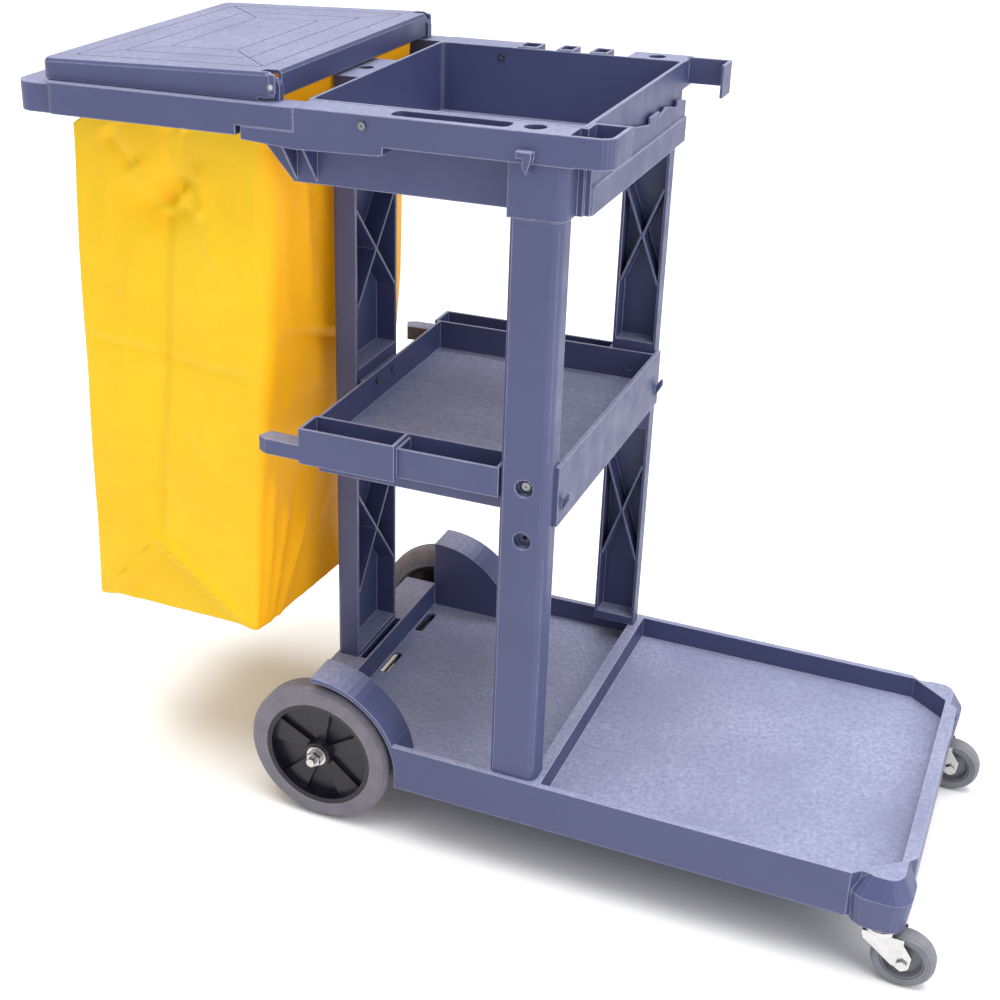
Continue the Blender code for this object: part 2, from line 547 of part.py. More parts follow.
def build_rear_rim(name, side, mat):
    """Rim with a deep dish, five broad raised sectors on each face, and a hub."""
    half = WHEEL_W / 2
    y = side * WHEEL_Y
    centre = (AXLE_X, WHEEL_R)
    ring = [(70, y - half + 2), (76, y - half + 1), (76, y + half - 1), (70, y + half - 2)]
    hub = [(7, y - half), (18, y - half), (20, y - half + 8), (20, y + half - 8), (18, y + half), (7, y + half)]
    solids = [turned("y", centre, ring, 64), turned("y", centre, hub, 36)]
    solids.append(turned("y", centre, [(17.1, y - 2), (72.6, y - 2), (72.6, y + 2), (17.1, y + 2)], 60))
    for i in range(5):
        middle = 72 * i + 20
        sector = arc(centre, 15.3, middle - 26, middle + 26, 4) + arc(centre, 73.4, middle + 15, middle - 15, 5)
        solids.append(prism(sector, "y", y - 8, y + 8))
    rim = finish(name, solids, [], mat, 30)
    set_origin(rim, (AXLE_X, y, WHEEL_R))
    return rim


def hexagon(centre, radius):
    return arc(centre, radius, 30, 330, 5)


def build_axle_parts(steel):
    centre = (AXLE_X, WHEEL_R)
    finish("rear_axle", [rod("y", centre, 6, -249, 249, 24)], [], steel, 40)
    for name, side in (("near", -1), ("far", 1)):
        y0 = WHEEL_Y + WHEEL_W / 2 + GAP
        low, high = sorted((side * y0, side * (y0 + 2)))
        washer = turned("y", centre, [(6.4, low), (14, low), (14, high), (6.4, high)], 28)
        finish(f"axle_washer_{name}", [washer], [], steel, 40)
        low, high = sorted((side * (y0 + 2 + GAP), side * (y0 + 12)))
        nut = prism(hexagon(centre, 10.4), "y", low, high)
        low, high = sorted((side * (y0 + 1), side * (y0 + 20)))
        finish(f"axle_nut_{name}", [nut], [rod("y", centre, 6.3, low, high, 24)], steel, 40)
        low, high = sorted((side * (FENDER_Y + WALL + GAP), side * (WHEEL_Y - WHEEL_W / 2 - GAP)))
        spacer = turned("y", centre, [(6.4, low), (11, low), (11, high), (6.4, high)], 24)
        finish(f"axle_spacer_{name}", [spacer], [], steel, 40)


# ---------------------------------------------------------------- casters
def build_caster(name, side, zinc, rubber, plastic):
    y = side * CASTER_Y
    swivel = (SWIVEL_X, y)
    centre = (CASTER_AXLE_X, CASTER_R)
    top = BOSS_BOTTOM + BODY_LIFT - GAP
    finish(f"caster_stem_{name}", [rod("z", swivel, 20, top - 4, top, 32), rod("z", swivel, 6, top - 9, 118, 20)],
           [], zinc, 40)
    cap_top = top - 4 - GAP
    inner, outer = CASTER_W / 2 + 2.5, CASTER_W / 2 + 4.5
    cap = [rod("z", swivel, 21, cap_top - 5, cap_top, 32),
           box(SWIVEL_X - 19, SWIVEL_X + 29, y - outer, y + outer, cap_top - 12, cap_top - 5 + 0.01)]
    legs = []
    for part in (-1, 1):
        leg = [(SWIVEL_X - 19, cap_top - 6), (SWIVEL_X - 17, cap_top - 16), (centre[0] - 12, centre[1] - 4)]
        leg += arc(centre, 9, 215, 340, 6) + [(centre[0] + 10, centre[1] + 12), (SWIVEL_X + 29, cap_top - 12),
                                              (SWIVEL_X + 29, cap_top - 6)]
        low, high = sorted((y + part * inner, y + part * outer))
        legs.append(prism(leg, "y", low, high))
    cuts = [rod("y", centre, CASTER_R + 2.5, y - inner, y + inner, 40),
            box(SWIVEL_X - 40, SWIVEL_X + 60, y - inner, y + inner, 0, cap_top - 9),
            rod("z", swivel, 6.4, cap_top - 20, cap_top + 5, 20),
            rod("y", centre, 4.2, y - outer - 5, y + outer + 5, 20)]
    fork = finish(f"caster_fork_{name}", cap + legs, cuts, zinc, 30)
    set_origin(fork, (SWIVEL_X, y, cap_top))
    half = CASTER_W / 2
    profile = [(25.2, y - half + 1), (33, y - half), (36.5, y - half + 4), (CASTER_R, y - half + 7),
               (CASTER_R, y + half - 7), (36.5, y + half - 4), (33, y + half), (25.2, y + half - 1)]
    tyre = finish(f"caster_tyre_{name}", [turned("y", centre, profile, 48)], [], rubber, 30)
    set_origin(tyre, (centre[0], y, centre[1]))
    hub_profile = [(4.3, y - half - 2), (9, y - half - 2), (11, y - 4), (21, y - 3), (23, y - half + 2),
                   (25, y - half + 2), (25, y + half - 2), (23, y + half - 2), (21, y + 3), (11, y + 4),
                   (9, y + half + 2), (4.3, y + half + 2)]
    hub = finish(f"caster_hub_{name}", [turned("y", centre, hub_profile, 48)], [], plastic, 30)
    set_origin(hub, (centre[0], y, centre[1]))
    head = outer + GAP
    finish(f"caster_bolt_{name}",
           [rod("y", centre, 4, y - head - 3, y + head + 6, 20), prism(hexagon(centre, 7), "y", y - head - 3.5, y - head)],
           [], zinc, 40)
    nut = prism(hexagon(centre, 7), "y", y + head, y + head + 5)
    cut = rod("y", centre, 4.3, y, y + head + 20, 20)
    finish(f"caster_nut_{name}", [nut], [cut], zinc, 40)


# ---------------------------------------------------------------- screws
def build_screw(name, axis, centre, face, sense, length, mat, shank=1.9, head_radius=4.6, head=2.6):
    """Pan-head screw: its head stands on the face, its shank runs against sense."""
    low, high = sorted((face + sense * GAP, face + sense * head))
    solids = [rod(axis, centre, head_radius, low, high, 20)]
    low, high = sorted((face + sense * 0.5, face - sense * length))
    solids.append(rod(axis, centre, shank, low, high, 12))
    middle = face + sense * head
    low, high = sorted((middle + sense * 2, middle - sense * 1.2))
    cuts = [rod(axis, centre, 1.6, low, high, 6)]
    return finish(name, solids, cuts, mat, 40)


def build_screws(steel):
    middle = (POST_X0 + POST_X1) / 2
    return [build_screw("tray_screw_near", "y", (-126, 952), -HALF_WIDTH, -1, 30, steel),
            build_screw("tray_screw_far", "y", (-126, 952), TRAY_Y - 3, -1, 30, steel),
            build_screw("shelf_screw_near", "y", (middle, 551), -POST_OUT + 10, -1, 24, steel, 2.3, 5.5, 3),
            build_screw("shelf_screw_far", "y", (middle, 551), POST_OUT - 10, 1, 24, steel, 2.3, 5.5, 3),
            build_screw("shelf_screw_rear_near", "x", (-24, 563), SHELF_X0 + 3, 1, 12, steel),
            build_screw("shelf_screw_rear_far", "x", (24, 563), SHELF_X0 + 3, 1, 12, steel)]


def main():
    clear_scene()
    slate = material("slate_plastic", SLATE, 0.45)
    vinyl = material("yellow_vinyl", YELLOW, 0.4)
    rubber = material("grey_rubber", GREY_RUBBER, 0.7)
    black = material("black_plastic", BLACK, 0.35)
    zinc = material("zinc_steel", ZINC, 0.3, 1.0)
    hub_grey = material("grey_plastic", GREY_PLASTIC, 0.5)
    body = [build_base(slate),
            build_front_post("front_post_near", -1, slate),
            build_front_post("front_post_far", 1, slate),
            build_rear_post(slate),
            build_shelf(slate),
            build_tray(slate),
            build_bag_frame(slate),
            build_lid(slate),
            build_bag(vinyl),
            build_hinge_pin("hinge_pin_near", -1, zinc),
            build_hinge_pin("hinge_pin_far", 1, zinc)]
    body += build_screws(zinc)
    for node in body:
        node.location.z += BODY_LIFT * MM
    build_axle_parts(zinc)
    for name, side in (("near", -1), ("far", 1)):
        build_rear_tyre(f"rear_tyre_{name}", side, rubber)
        build_rear_rim(f"rear_rim_{name}", side, black)
        build_caster(name, side, zinc, rubber, hub_grey)


main()
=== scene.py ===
"""Looks for the housekeeping cart: materials, the soft bag, small trim, lights, floor and camera."""
import math

import bpy
from mathutils import Matrix, Vector, noise


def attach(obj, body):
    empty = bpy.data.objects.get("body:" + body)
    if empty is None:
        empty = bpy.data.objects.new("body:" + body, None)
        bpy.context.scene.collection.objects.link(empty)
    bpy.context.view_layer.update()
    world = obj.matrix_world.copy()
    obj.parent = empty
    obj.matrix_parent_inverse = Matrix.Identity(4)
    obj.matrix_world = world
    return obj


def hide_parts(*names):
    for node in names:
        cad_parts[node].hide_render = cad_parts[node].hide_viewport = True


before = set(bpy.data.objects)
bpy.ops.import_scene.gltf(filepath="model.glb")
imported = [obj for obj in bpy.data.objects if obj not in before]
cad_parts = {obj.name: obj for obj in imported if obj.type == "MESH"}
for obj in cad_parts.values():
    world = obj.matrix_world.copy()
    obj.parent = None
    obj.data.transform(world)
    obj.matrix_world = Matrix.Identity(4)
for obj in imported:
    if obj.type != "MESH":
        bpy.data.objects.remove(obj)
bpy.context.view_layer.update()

SLATE_NODES = ("base", "front_post_near", "front_post_far", "rear_post", "middle_shelf", "top_tray",
               "bag_frame", "lid")
SCREW_NODES = ("tray_screw_near", "tray_screw_far", "shelf_screw_near", "shelf_screw_far",
               "shelf_screw_rear_near", "shelf_screw_rear_far")
STEEL_PARTS = ("hinge_pin", "axle_spacer", "axle_washer", "axle_nut", "caster_stem", "caster_fork",
               "caster_bolt", "caster_nut")
SIDES = ("near", "far")
AXLE = Vector((-0.200, 0.0, 0.1025))                # rear wheel centre, metres
CASTER_AXLE = Vector((0.5665, 0.0, 0.0375))         # caster wheel centre, metres
TYRE_RING_PITCH, CASTER_RING_PITCH = 0.0052, 0.0036
WEAVE_RATE = 5200.0                                 # radians per metre of the cloth's weave
DUST_AND_TOP_LIGHT_NORMAL = (0.85, 1.0)                           # upward part of the normal where the dust haze and the painted top light start and are full

# Base colours, linear RGB
# The second colour is the pale tone used for dust, wear, painted top light and painted edge highlights.
SLATE, SLATE_DUST_AND_LIGHT = (0.057, 0.066, 0.162), (0.45, 0.47, 0.64)
# The last of these colours is painted shade: the orange laid on the cloth's front-facing side.
YELLOW, DEEP_YELLOW, PAINTED_SHADE_ORANGE = (0.64, 0.460, 0.008), (0.65, 0.385, 0.006), (1.00, 0.470, 0.008)
# The cloth glow is painted light: a constant orange emission that lifts the cloth's shaded parts.
CLOTH_PAINTED_GLOW, PAINTED_GLOW_STRENGTH = (1.0, 0.36, 0.0, 1.0), 0.18
ZINC, BRIGHT_ZINC = (0.50, 0.50, 0.50), (0.60, 0.59, 0.57)
DARK_STEEL, WORN_STEEL = (0.16, 0.16, 0.165), (0.26, 0.26, 0.26)
BLACK, GREY = (0.0035, 0.0025, 0.008), (0.13, 0.13, 0.155)
RUBBER, CASTER_RUBBER = (0.175, 0.165, 0.200), (0.190, 0.190, 0.220)
FLOOR = (0.93, 0.93, 0.94, 1.0)

SKY_POWER, SKY_ANGLE = 3.2, 50.0                    # overhead soft sun, its angle in degrees
WORLD_STRENGTH = 0.56
FLOOR_SIZE = 30.0
LIGHT_TARGET = Vector((0.0, 0.0, 0.45))
AREA_LIGHTS = (("key_light", (-1.6, -2.6, 3.2), 2.2, 16.0),     # name, place, size, power
               ("fill_light", (3.0, -1.2, 2.4), 2.4, 62.0))

CAMERA_PLACE = (0.6233, -1.7890, 1.3616)
CAMERA_AZIMUTH, CAMERA_ELEVATION, CAMERA_ROLL = 25.67, 25.94, -0.31         # degrees
CAMERA_LENS, CAMERA_SENSOR = 57.36, 36.0
CAMERA_SHIFT = (0.135, -0.0144)


# ---------------------------------------------------------------- node helpers
class Shader:
    """A material with one Principled shader and short ways to add nodes to it."""

    def __init__(self, name, roughness, metallic=0.0):
        self.mat = bpy.data.materials.new(name)
        self.mat.use_nodes = True
        self.tree = self.mat.node_tree
        self.principled = self.tree.nodes["Principled BSDF"]
        self.set("Roughness", roughness)
        self.set("Metallic", metallic)
        coords = self.tree.nodes.new("ShaderNodeTexCoord")
        self.place = coords.outputs["Object"]
        self.facing = coords.outputs["Normal"]

    def set(self, name, value):
        self.principled.inputs[name].default_value = value

    def link(self, source, name):
        self.tree.links.new(source, self.principled.inputs[name])

    def node(self, kind, values=None, **settings):
        made = self.tree.nodes.new(kind)
        for key, value in settings.items():
            setattr(made, key, value)
        for key, value in (values or {}).items():
            socket = made.inputs[key]
            if isinstance(value, bpy.types.NodeSocket):
                self.tree.links.new(value, socket)
            else:
                socket.default_value = value
        return made

    def noise(self, scale, detail=3.0, rough=0.55, distortion=0.0):
        made = self.node("ShaderNodeTexNoise", {"Vector": self.place, "Scale": scale, "Detail": detail,
                                                "Roughness": rough, "Distortion": distortion})
        return made.outputs["Fac"]

    def math(self, kind, a, b=0.0):
        made = self.node("ShaderNodeMath", {0: a, 1: b}, operation=kind)
        return made.outputs[0]

    def spread(self, value, low, high, to_low=0.0, to_high=1.0):
        made = self.node("ShaderNodeMapRange", {"Value": value, "From Min": low, "From Max": high,
                                                "To Min": to_low, "To Max": to_high})
        return made.outputs["Result"]

    def mix(self, factor, a, b):
        made = self.tree.nodes.new("ShaderNodeMix")
        made.data_type = "RGBA"
        for index, value in ((0, factor), (6, a), (7, b)):
            if isinstance(value, bpy.types.NodeSocket):
                self.tree.links.new(value, made.inputs[index])
            else:
                made.inputs[index].default_value = value if index == 0 else (*value, 1.0)
        return made.outputs[2]

    def bump(self, height, distance, strength=1.0, normal=None):
        values = {"Height": height, "Distance": distance, "Strength": strength}
        if normal is not None:
            values["Normal"] = normal
        return self.node("ShaderNodeBump", values).outputs["Normal"]

    def soft_edges(self, radius):
        return self.node("ShaderNodeBevel", {"Radius": radius}, samples=4).outputs["Normal"]

    def edge_mask(self, radius, low, high):
        """1 on edges and 0 on flat faces, from how far the rounded normal leans off the true one."""
        geometry = self.node("ShaderNodeNewGeometry")
        dot = self.node("ShaderNodeVectorMath", {0: self.soft_edges(radius), 1: geometry.outputs["Normal"]},
                        operation="DOT_PRODUCT")
        return self.spread(dot.outputs["Value"], high, low)


def up_facing(shader):
    """1 on faces that look up in the piece's own frame, 0 on the rest."""
    parts = shader.node("ShaderNodeSeparateXYZ", {0: shader.facing})
    return shader.spread(parts.outputs["Z"], *DUST_AND_TOP_LIGHT_NORMAL)


def moulded_plastic(name, colour, pale, roughness, painted_top_light, haze):
    """Grained moulded plastic with pale edges that are partly wear and partly painted highlight and, on
    floors, an even painted top light plus patchy dust haze.
    """
    shader = Shader(name, roughness)
    deep = tuple(c * 0.90 for c in colour)
    tone = shader.mix(shader.spread(shader.noise(5.0, 4.0), 0.35, 0.68), deep, colour)
    patches = shader.spread(shader.noise(7.0, 3.0), 0.35, 0.65, 0.45, 1.0)
    specks = shader.spread(shader.noise(160.0, 10.0, 0.82), 0.38, 0.66)
    mottle = shader.math("MULTIPLY", patches, specks)
    # Painted top light: every up-facing face is lightened evenly, with patchy dust haze on top.
    dust_and_top_light_amount = shader.math("ADD", shader.math("MULTIPLY", mottle, haze), painted_top_light)
    dust_and_top_light = shader.math("MULTIPLY", dust_and_top_light_amount, up_facing(shader))
    tone = shader.mix(dust_and_top_light, tone, pale)
    uneven = shader.spread(shader.noise(60.0, 3.0), 0.3, 0.7, 0.45, 0.9)
    # Pale edges: partly wear, partly painted edge highlight.
    wear_and_edge_highlight = shader.math("MULTIPLY", shader.edge_mask(0.0022, 0.90, 0.995), uneven)
    tone = shader.mix(wear_and_edge_highlight, tone, pale)
    shader.link(tone, "Base Color")
    rough = shader.spread(shader.noise(26.0, 5.0), 0.3, 0.7, roughness - 0.06, roughness + 0.10)
    shader.link(rough, "Roughness")
    grain = shader.bump(shader.noise(1500.0, 2.0), 0.00012, 0.35, shader.soft_edges(0.0016))
    shader.link(shader.bump(shader.noise(9.0, 2.0), 0.0012, 0.25, grain), "Normal")
    return shader.mat


def coated_fabric():
    """Coated woven cloth: fine weave, a painted orange shade toward the front and a painted orange glow."""
    shader = Shader("coated_yellow_fabric", 0.5)
    facing = shader.node("ShaderNodeSeparateXYZ", {0: shader.facing})
    # Painted shade: faces turned toward the front are pushed toward orange.
    painted_front_shade = shader.spread(facing.outputs["X"], 0.0, 0.95, 0.0, 0.9)
    uneven = shader.spread(shader.noise(9.0, 5.0, 0.6, distortion=0.6), 0.35, 0.7, 0.0, 0.55)
    tone = shader.mix(uneven, YELLOW, DEEP_YELLOW)
    tone = shader.mix(painted_front_shade, tone, PAINTED_SHADE_ORANGE)
    shader.link(tone, "Base Color")
    parts = shader.node("ShaderNodeSeparateXYZ", {0: shader.place})
    across = shader.math("ADD", parts.outputs["X"], parts.outputs["Y"])
    along = shader.math("SINE", shader.math("MULTIPLY", across, WEAVE_RATE))
    up = shader.math("SINE", shader.math("MULTIPLY", parts.outputs["Z"], WEAVE_RATE))
    weave = shader.bump(shader.math("MULTIPLY", along, up), 0.00007, 0.5)
    crumple = shader.bump(shader.noise(34.0, 4.0, 0.5, distortion=0.8), 0.0022, 0.35, weave)
    shader.link(crumple, "Normal")
    shader.link(shader.spread(shader.noise(60.0, 3.0), 0.3, 0.7, 0.38, 0.54), "Roughness")
    shader.set("Specular IOR Level", 0.22)
    # Painted glow: the cloth emits a little orange light of its own.
    shader.set("Emission Color", CLOTH_PAINTED_GLOW)
    shader.set("Emission Strength", PAINTED_GLOW_STRENGTH)
    return shader.mat


def turned_rubber(name, centre, pitch, colour):
    """Grey rubber with the fine rings its mould leaves about the axle."""
    shader = Shader(name, 0.68)
    offset = shader.node("ShaderNodeVectorMath", {0: shader.place, 1: centre}, operation="SUBTRACT")
    flat = shader.node("ShaderNodeVectorMath", {0: offset.outputs[0], 1: (1.0, 0.0, 1.0)},
                       operation="MULTIPLY")
    radius = shader.node("ShaderNodeVectorMath", {0: flat.outputs[0]}, operation="LENGTH").outputs["Value"]
    rings = shader.math("SINE", shader.math("MULTIPLY", radius, 2 * math.pi / pitch))
    dirt = shader.spread(shader.noise(45.0, 6.0, 0.65), 0.4, 0.72)
    tone = shader.mix(dirt, colour, tuple(c * 0.78 for c in colour))
    # Painted shade: the colour darkens in the bottoms of the mould rings.
    painted_groove_shade = shader.spread(rings, -1.0, -0.6, 0.30, 0.0)
    shader.link(shader.mix(painted_groove_shade, tone, tuple(c * 0.55 for c in colour)), "Base Color")
    lines = shader.bump(rings, 0.0004, 0.5, shader.soft_edges(0.0015))
    shader.link(shader.bump(shader.noise(900.0), 0.0001, 0.4, lines), "Normal")
    return shader.mat


def plated_steel(name, dull, bright):
    """Plated steel mottled between a dull and a bright tone."""
    shader = Shader(name, 0.26, 1.0)
    patches = shader.spread(shader.noise(90.0, 4.0, distortion=0.5), 0.3, 0.7)
    shader.link(shader.mix(patches, dull, bright), "Base Color")
    shader.link(shader.spread(shader.noise(300.0), 0.3, 0.7, 0.18, 0.36), "Roughness")
    shader.link(shader.bump(shader.noise(700.0), 0.00006, 0.4, shader.soft_edges(0.0006)), "Normal")
    return shader.mat


def smooth_plastic(name, colour, roughness):
    """Smooth hard plastic with a faintly lighter cloud in its tone."""
    shader = Shader(name, roughness)
    lighter = tuple(c * 1.35 + 0.002 for c in colour)
    tone = shader.mix(shader.spread(shader.noise(40.0), 0.35, 0.7), colour, lighter)
    shader.link(tone, "Base Color")
    shader.link(shader.spread(shader.noise(120.0), 0.3, 0.7, roughness - 0.05, roughness + 0.08), "Roughness")
    shader.link(shader.bump(shader.noise(500.0), 0.00008, 0.3, shader.soft_edges(0.0012)), "Normal")
    return shader.mat


def paint(name, mat):
    node = bpy.data.objects[name]
    node.data.materials.clear()
    node.data.materials.append(mat)


# ---------------------------------------------------------------- bag
# All bag sizes are in metres.
# height, rear x, near front x, far front x, near front corner radius
BAG_LEVELS = ((0.244, -0.565, -0.310, -0.290, 0.006), (0.42, -0.558, -0.302, -0.278, 0.010),
              (0.62, -0.553, -0.281, -0.266, 0.018), (0.80, -0.550, -0.270, -0.260, 0.024),
              (0.908, -0.548, -0.267, -0.257, 0.024), (0.925, -0.5215, -0.263, -0.255, 0.020),
              (0.9655, -0.519, -0.254, -0.252, 0.014))
BAG_BOTTOM, BAG_TOP = BAG_LEVELS[0][0], BAG_LEVELS[-1][0]
BAG_HALF_WIDTH = 0.184
REAR_RADIUS, FAR_RADIUS = 0.006, 0.008
CLOTH_THICKNESS = 0.0012
SIDE_SPAN, FRONT_SPAN = 0.25, 0.36                  # nominal widths that folds are placed on
STILL_ABOVE = 0.950                                 # the hem is held by the frame from here up
FOOT_APEX, FOOT_HEIGHT = (-0.028, 0.352), 0.250     # foot triangle: its tip, and where its base lies
FOLD_CREASE_HEIGHT, SECOND_CREASE_HEIGHT = 0.618, 0.430
CENTRE_TOP = (0.003, 0.81)                          # where the centre fold starts: across, height
DENT_PLACE, DENT_DEPTH, DENT_RADIUS = Vector((0.000, 0.826)), 0.0260, 0.026

# Straight folds: start and end (across from the panel's middle, height), how far out, breadth
NEAR_FOLDS = (((-0.004, 0.806), (0.040, 0.846), 0.0120, 0.009),
              ((0.024, 0.846), (0.056, 0.812), 0.0090, 0.008),
              ((0.000, 0.804), (-0.044, 0.872), 0.0110, 0.010),
              ((-0.030, 0.845), (-0.085, 0.905), -0.0070, 0.012),
              ((0.018, 0.845), (0.032, 0.925), -0.0070, 0.012),
              ((0.045, 0.880), (0.074, 0.740), 0.0060, 0.010),
              ((-0.050, 0.760), (-0.085, 0.500), 0.0030, 0.010),
              ((0.060, 0.560), (0.030, 0.400), 0.0030, 0.010),
              ((0.010, 0.520), (0.055, 0.470), -0.0030, 0.008))
FRONT_FOLDS = (((-0.175, 0.670), (0.030, 0.595), -0.0040, 0.010),
               ((-0.172, 0.225), (-0.155, 0.480), 0.0055, 0.007),
               ((-0.160, 0.225), (-0.115, 0.420), 0.0050, 0.006),
               ((-0.145, 0.225), (-0.060, 0.380), 0.0045, 0.006),
               ((-0.120, 0.300), (-0.060, 0.560), -0.0035, 0.012),
               ((0.030, 0.280), (0.120, 0.540), -0.0035, 0.014),
               ((-0.090, 0.680), (-0.130, 0.900), 0.0045, 0.012),
               ((-0.030, 0.640), (0.020, 0.860), 0.0035, 0.012))


def unit(value):
    """The value held between 0 and 1."""
    return min(max(value, 0.0), 1.0)


def bag_level(z):
    """Rear x, near and far front x, and near front corner radius of the bag at one height."""
    for low, high in zip(BAG_LEVELS[:-1], BAG_LEVELS[1:]):
        if z <= high[0] or high is BAG_LEVELS[-1]:
            t = unit((z - low[0]) / (high[0] - low[0]))
            return [a + (b - a) * t for a, b in zip(low[1:], high[1:])]


def crease(distance, width):
    """A sharp ridge profile, 1 on its line."""
    return math.exp(-abs(distance) / width)


def fold(a, b, start, end, width):
    """Height of a straight fold at (a, b): sharp across its line and fading out at both ends."""
    p, s, e = Vector((a, b)), Vector(start), Vector(end)
    t = (p - s).dot(e - s) / (e - s).length_squared
    if not 0.0 < t < 1.0:
        return 0.0
    return crease((p - s - (e - s) * t).length, width) * min(1.0, 2.2 * math.sin(math.pi * t))


def side_folds(u, z, has_dent):
    """Outward movement of a long side: centre fold, foot triangle, cross folds and a dent near the top."""
    a = (u - 0.5) * SIDE_SPAN
    apex_a, apex_z = FOOT_APEX
    top_a, top_z = CENTRE_TOP
    lean = top_a + (apex_a - top_a) * (top_z - z) / (top_z - apex_z)
    above = unit((z - apex_z) / 0.03)
    out = -0.0085 * crease(a - lean, 0.016) * above * (1.0 - 0.6 * min(max(z - 0.80, 0.0) / 0.1, 1.0))
    out += 0.0036 * crease(a - lean - 0.014, 0.007) * above
    for end in (-0.126, 0.126):
        beyond = (apex_a + (apex_a - end) * 0.05, apex_z + 0.006)
        out += 0.0085 * fold(a, z, beyond, (end, 0.242), 0.007)
    reach = 0.120 + (apex_a if a < apex_a else -apex_a)
    inside = (apex_z - z) - abs(a - apex_a) * (apex_z - FOOT_HEIGHT) / max(reach, 0.02)
    if inside > 0:
        out -= 0.0065 * min(inside / 0.018, 1.0)
    fold_z = FOLD_CREASE_HEIGHT - 0.010 * math.sin(12.0 * a)
    out -= 0.0038 * crease(z - fold_z, 0.005) - 0.0030 * crease(z - fold_z - 0.016, 0.008)
    out -= 0.0022 * crease(z - SECOND_CREASE_HEIGHT - 0.3 * a, 0.006)
    if has_dent:
        dent = Vector((a / 1.45, z)) - DENT_PLACE
        out -= DENT_DEPTH * math.exp(-(dent.length / DENT_RADIUS) ** 2)
        for start, end, height, broad in NEAR_FOLDS:
            out += height * fold(a, z, start, end, broad)
    return out


def front_folds(u, z):
    """Outward movement of the front and rear panels."""
    a = (u - 0.5) * FRONT_SPAN
    fold_z = 0.667 - 0.070 * u + 0.006 * math.sin(9.0 * u)
    strength = 0.55 + 0.45 * math.sin(7.0 * u - 0.5)
    out = strength * (0.0055 * crease(z - fold_z, 0.007) - 0.0065 * crease(z - fold_z + 0.020, 0.010))
    for start, end, height, broad in FRONT_FOLDS:
        out += height * fold(a, z, start, end, broad)
    return out + 0.0030 * math.sin(math.pi * u)


def bag_ring(z, per_long, per_short, per_corner):
    """Points and outward directions round the bag at one height, with side and place along it."""
    x0, near_x, far_x, r = bag_level(z)
    y = BAG_HALF_WIDTH
    corners = ((near_x, -y, r, -90.0), (far_x, y, FAR_RADIUS, 0.0), (x0, y, REAR_RADIUS, 90.0),
               (x0, -y, REAR_RADIUS, 180.0))
    inward = ((-1, 1), (-1, -1), (1, -1), (1, 1))
    centres = [Vector((cx + sx * cr, cy + sy * cr, z)) for (cx, cy, cr, _), (sx, sy) in zip(corners, inward)]
    spans = (("front", per_long), ("far", per_short), ("rear", per_long), ("near", per_short))
    ring = []
    for k, (side, count) in enumerate(spans):
        after = (k + 1) % 4
        radius, start = corners[k][2:]
        for i in range(per_corner + 1):
            angle = math.radians(start + 90.0 * i / per_corner)
            out = Vector((math.cos(angle), math.sin(angle), 0.0))
            ring.append((centres[k] + out * radius, out, "corner", 0.0))
        out = Vector((math.cos(math.radians(start + 90)), math.sin(math.radians(start + 90)), 0.0))
        first = centres[k] + out * radius
        last = centres[after] + out * corners[after][2]
        for i in range(1, count):
            ring.append((first.lerp(last, i / count), out, side, i / count))
    return ring


def bag_point(point, out, side, u):
    """Move one point of the plain ring out by the folds of its panel, slack and small wrinkles."""
    z = point.z
    move, edge = 0.0, 0.0
    if side in ("near", "far"):
        move = side_folds(1.0 - u if side == "far" else u, z, side == "near")
        edge = min(u, 1.0 - u)
    elif side in ("front", "rear"):
        move = front_folds(u, z) * (1.0 if side == "front" else 0.7)
        edge = min(u, 1.0 - u)
    fade = unit(edge / 0.06)
    fade = fade * fade * (3 - 2 * fade)
    slack = noise.noise(point * 6.5 + Vector((3.1, 0.7, 5.2))) * 0.0034
    cell = Vector((point.x * 24, point.y * 24, z * 12)) + Vector((1.0, 9.0, 4.0))
    wrinkle = (0.35 - abs(noise.noise(cell))) * 0.0026
    top = unit((STILL_ABOVE - z) / 0.03)
    bottom = 0.35 + 0.65 * unit((z - BAG_BOTTOM) / 0.05)
    return point + out * ((move * fade + wrinkle * (0.4 + 0.6 * fade)) * top + slack * top * bottom)


def build_bag(mat):
    """Open coated-cloth bag: side walls with packing folds, a flat folded foot and a hem."""
    rows, per_long, per_short, per_corner = 150, 64, 52, 5
    count = per_long * 2 + per_short * 2 + per_corner * 4
    points, faces = [], []
    for row in range(rows + 1):
        ring = bag_ring(BAG_BOTTOM + (BAG_TOP - BAG_BOTTOM) * row / rows, per_long, per_short, per_corner)
        points += [bag_point(*entry) for entry in ring]
    for row in range(rows):
        for i in range(count):
            a, b = row * count + i, row * count + (i + 1) % count
            faces.append((a, b, b + count, a + count))
    inner = [list(range(count))]
    middle = sum((points[i] for i in range(count)), Vector()) / count
    for share in (0.96, 0.85, 0.6, 0.3):
        start = len(points)
        for i in range(count):
            p = middle.lerp(points[i], share)
            sag = 0.004 * (1 - share) - 0.002 * (share > 0.9)
            points.append(Vector((p.x, p.y, BAG_BOTTOM - 0.002 + sag)))
        inner.append(list(range(start, start + count)))
    for outer_ring, inner_ring in zip(inner[:-1], inner[1:]):
        for i in range(count):
            k = (i + 1) % count
            faces.append((outer_ring[i], inner_ring[i], inner_ring[k], outer_ring[k]))
    faces.append(tuple(inner[-1][::-1]))
    mesh = bpy.data.meshes.new("bag_cloth")
    mesh.from_pydata(points, [], faces)
    bag = bpy.data.objects.new("bag_cloth", mesh)
    bpy.context.scene.collection.objects.link(bag)
    mesh.materials.append(mat)
    mesh.shade_smooth()
    shell = bag.modifiers.new("cloth", "SOLIDIFY")
    shell.thickness = CLOTH_THICKNESS
    shell.offset = -1.0
    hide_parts("bag")
    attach(bag, "chassis")
    return bag


# ---------------------------------------------------------------- stage
def add_light(name, kind, place):
    light = bpy.data.lights.new(name, kind)
    lamp = bpy.data.objects.new(name, light)
    lamp.location = place
    bpy.context.scene.collection.objects.link(lamp)
    return lamp


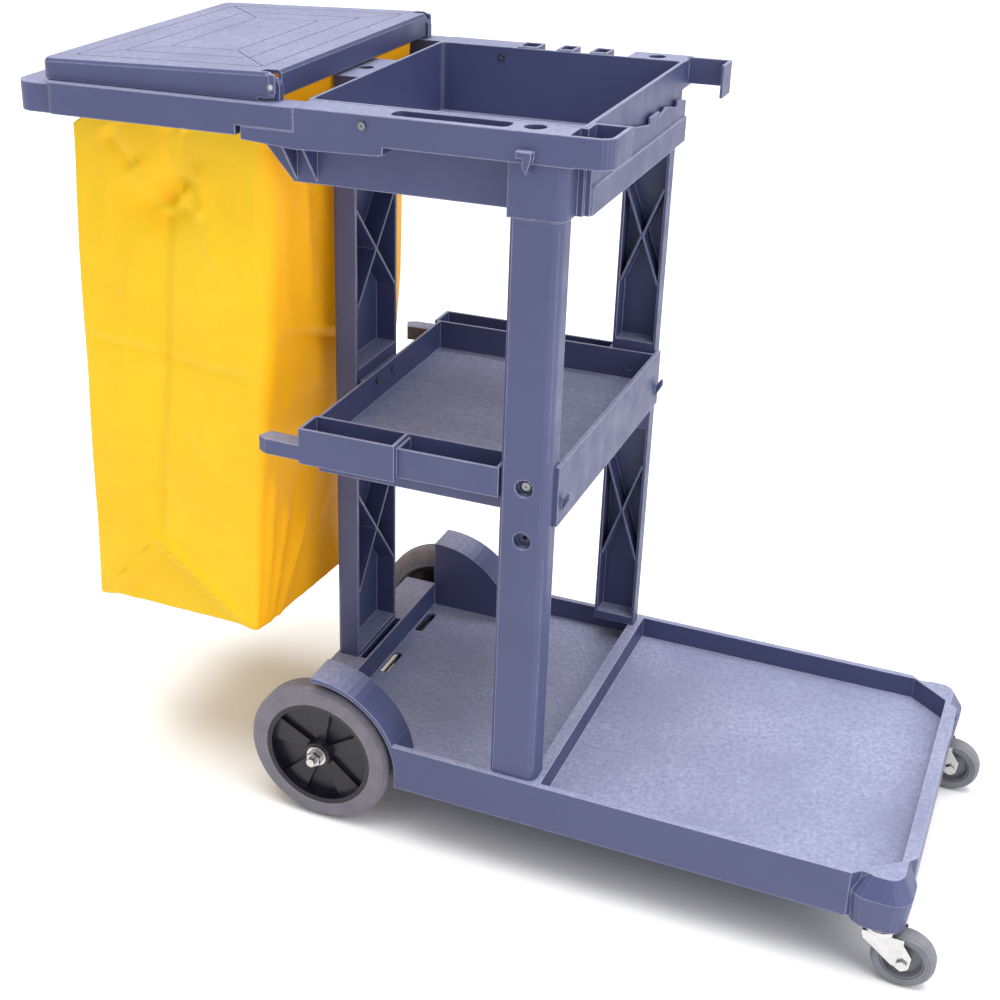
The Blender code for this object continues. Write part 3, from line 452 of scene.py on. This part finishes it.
def build_stage():
    """Pale floor, soft overhead sun, two area lights and a plain white world."""
    bpy.ops.mesh.primitive_plane_add(size=FLOOR_SIZE, location=(0, 0, 0))
    floor = bpy.context.object
    floor.name = "floor"
    shader = Shader("pale_floor", 0.6)
    shader.set("Base Color", FLOOR)
    floor.data.materials.append(shader.mat)
    overhead = add_light("sky_light", "SUN", (0.0, 0.0, 4.0))
    overhead.data.energy, overhead.data.angle = SKY_POWER, math.radians(SKY_ANGLE)
    for name, place, size, power in AREA_LIGHTS:
        lamp = add_light(name, "AREA", place)
        lamp.data.size, lamp.data.energy = size, power
        lamp.rotation_euler = (LIGHT_TARGET - lamp.location).to_track_quat("-Z", "Y").to_euler()
    world = bpy.data.worlds.new("studio")
    bpy.context.scene.world = world
    world.use_nodes = True
    background = world.node_tree.nodes["Background"]
    background.inputs["Color"].default_value = (1.0, 1.0, 1.0, 1.0)
    background.inputs["Strength"].default_value = WORLD_STRENGTH
    bpy.context.scene.view_settings.view_transform = "Standard"


def build_camera():
    """Camera from the near right, above, aimed by azimuth and elevation with a slight roll."""
    azimuth, elevation = math.radians(CAMERA_AZIMUTH), math.radians(CAMERA_ELEVATION)
    back = Vector((math.sin(azimuth) * math.cos(elevation), -math.cos(azimuth) * math.cos(elevation),
                   math.sin(elevation)))
    data = bpy.data.cameras.new("camera")
    data.lens, data.sensor_width = CAMERA_LENS, CAMERA_SENSOR
    data.shift_x, data.shift_y = CAMERA_SHIFT
    camera = bpy.data.objects.new("camera", data)
    aim = (-back).to_track_quat("-Z", "Y").to_matrix().to_4x4()
    turn = aim @ Matrix.Rotation(math.radians(CAMERA_ROLL), 4, "Z")
    camera.matrix_world = Matrix.Translation(CAMERA_PLACE) @ turn
    bpy.context.scene.collection.objects.link(camera)
    bpy.context.scene.camera = camera


def main():
    slate = moulded_plastic("slate_moulded", SLATE, SLATE_DUST_AND_LIGHT, roughness=0.44, painted_top_light=0.31, haze=0.48)
    for name in SLATE_NODES:
        paint(name, slate)
    steel = plated_steel("zinc_plated_steel", ZINC, BRIGHT_ZINC)
    screw_steel = plated_steel("dark_screw_steel", DARK_STEEL, WORN_STEEL)
    black = smooth_plastic("black_hub_plastic", BLACK, 0.34)
    grey = smooth_plastic("grey_hub_plastic", GREY, 0.42)
    tyre = turned_rubber("tyre_rubber", AXLE, TYRE_RING_PITCH, RUBBER)
    small_tyre = turned_rubber("caster_rubber", CASTER_AXLE, CASTER_RING_PITCH, CASTER_RUBBER)
    paint("rear_axle", steel)
    for name in SCREW_NODES:
        paint(name, screw_steel)
    for side in SIDES:
        for part in STEEL_PARTS:
            paint(f"{part}_{side}", steel)
        paint(f"rear_rim_{side}", black)
        paint(f"rear_tyre_{side}", tyre)
        paint(f"caster_tyre_{side}", small_tyre)
        paint(f"caster_hub_{side}", grey)
    build_bag(coated_fabric())
    build_stage()
    build_camera()


main()
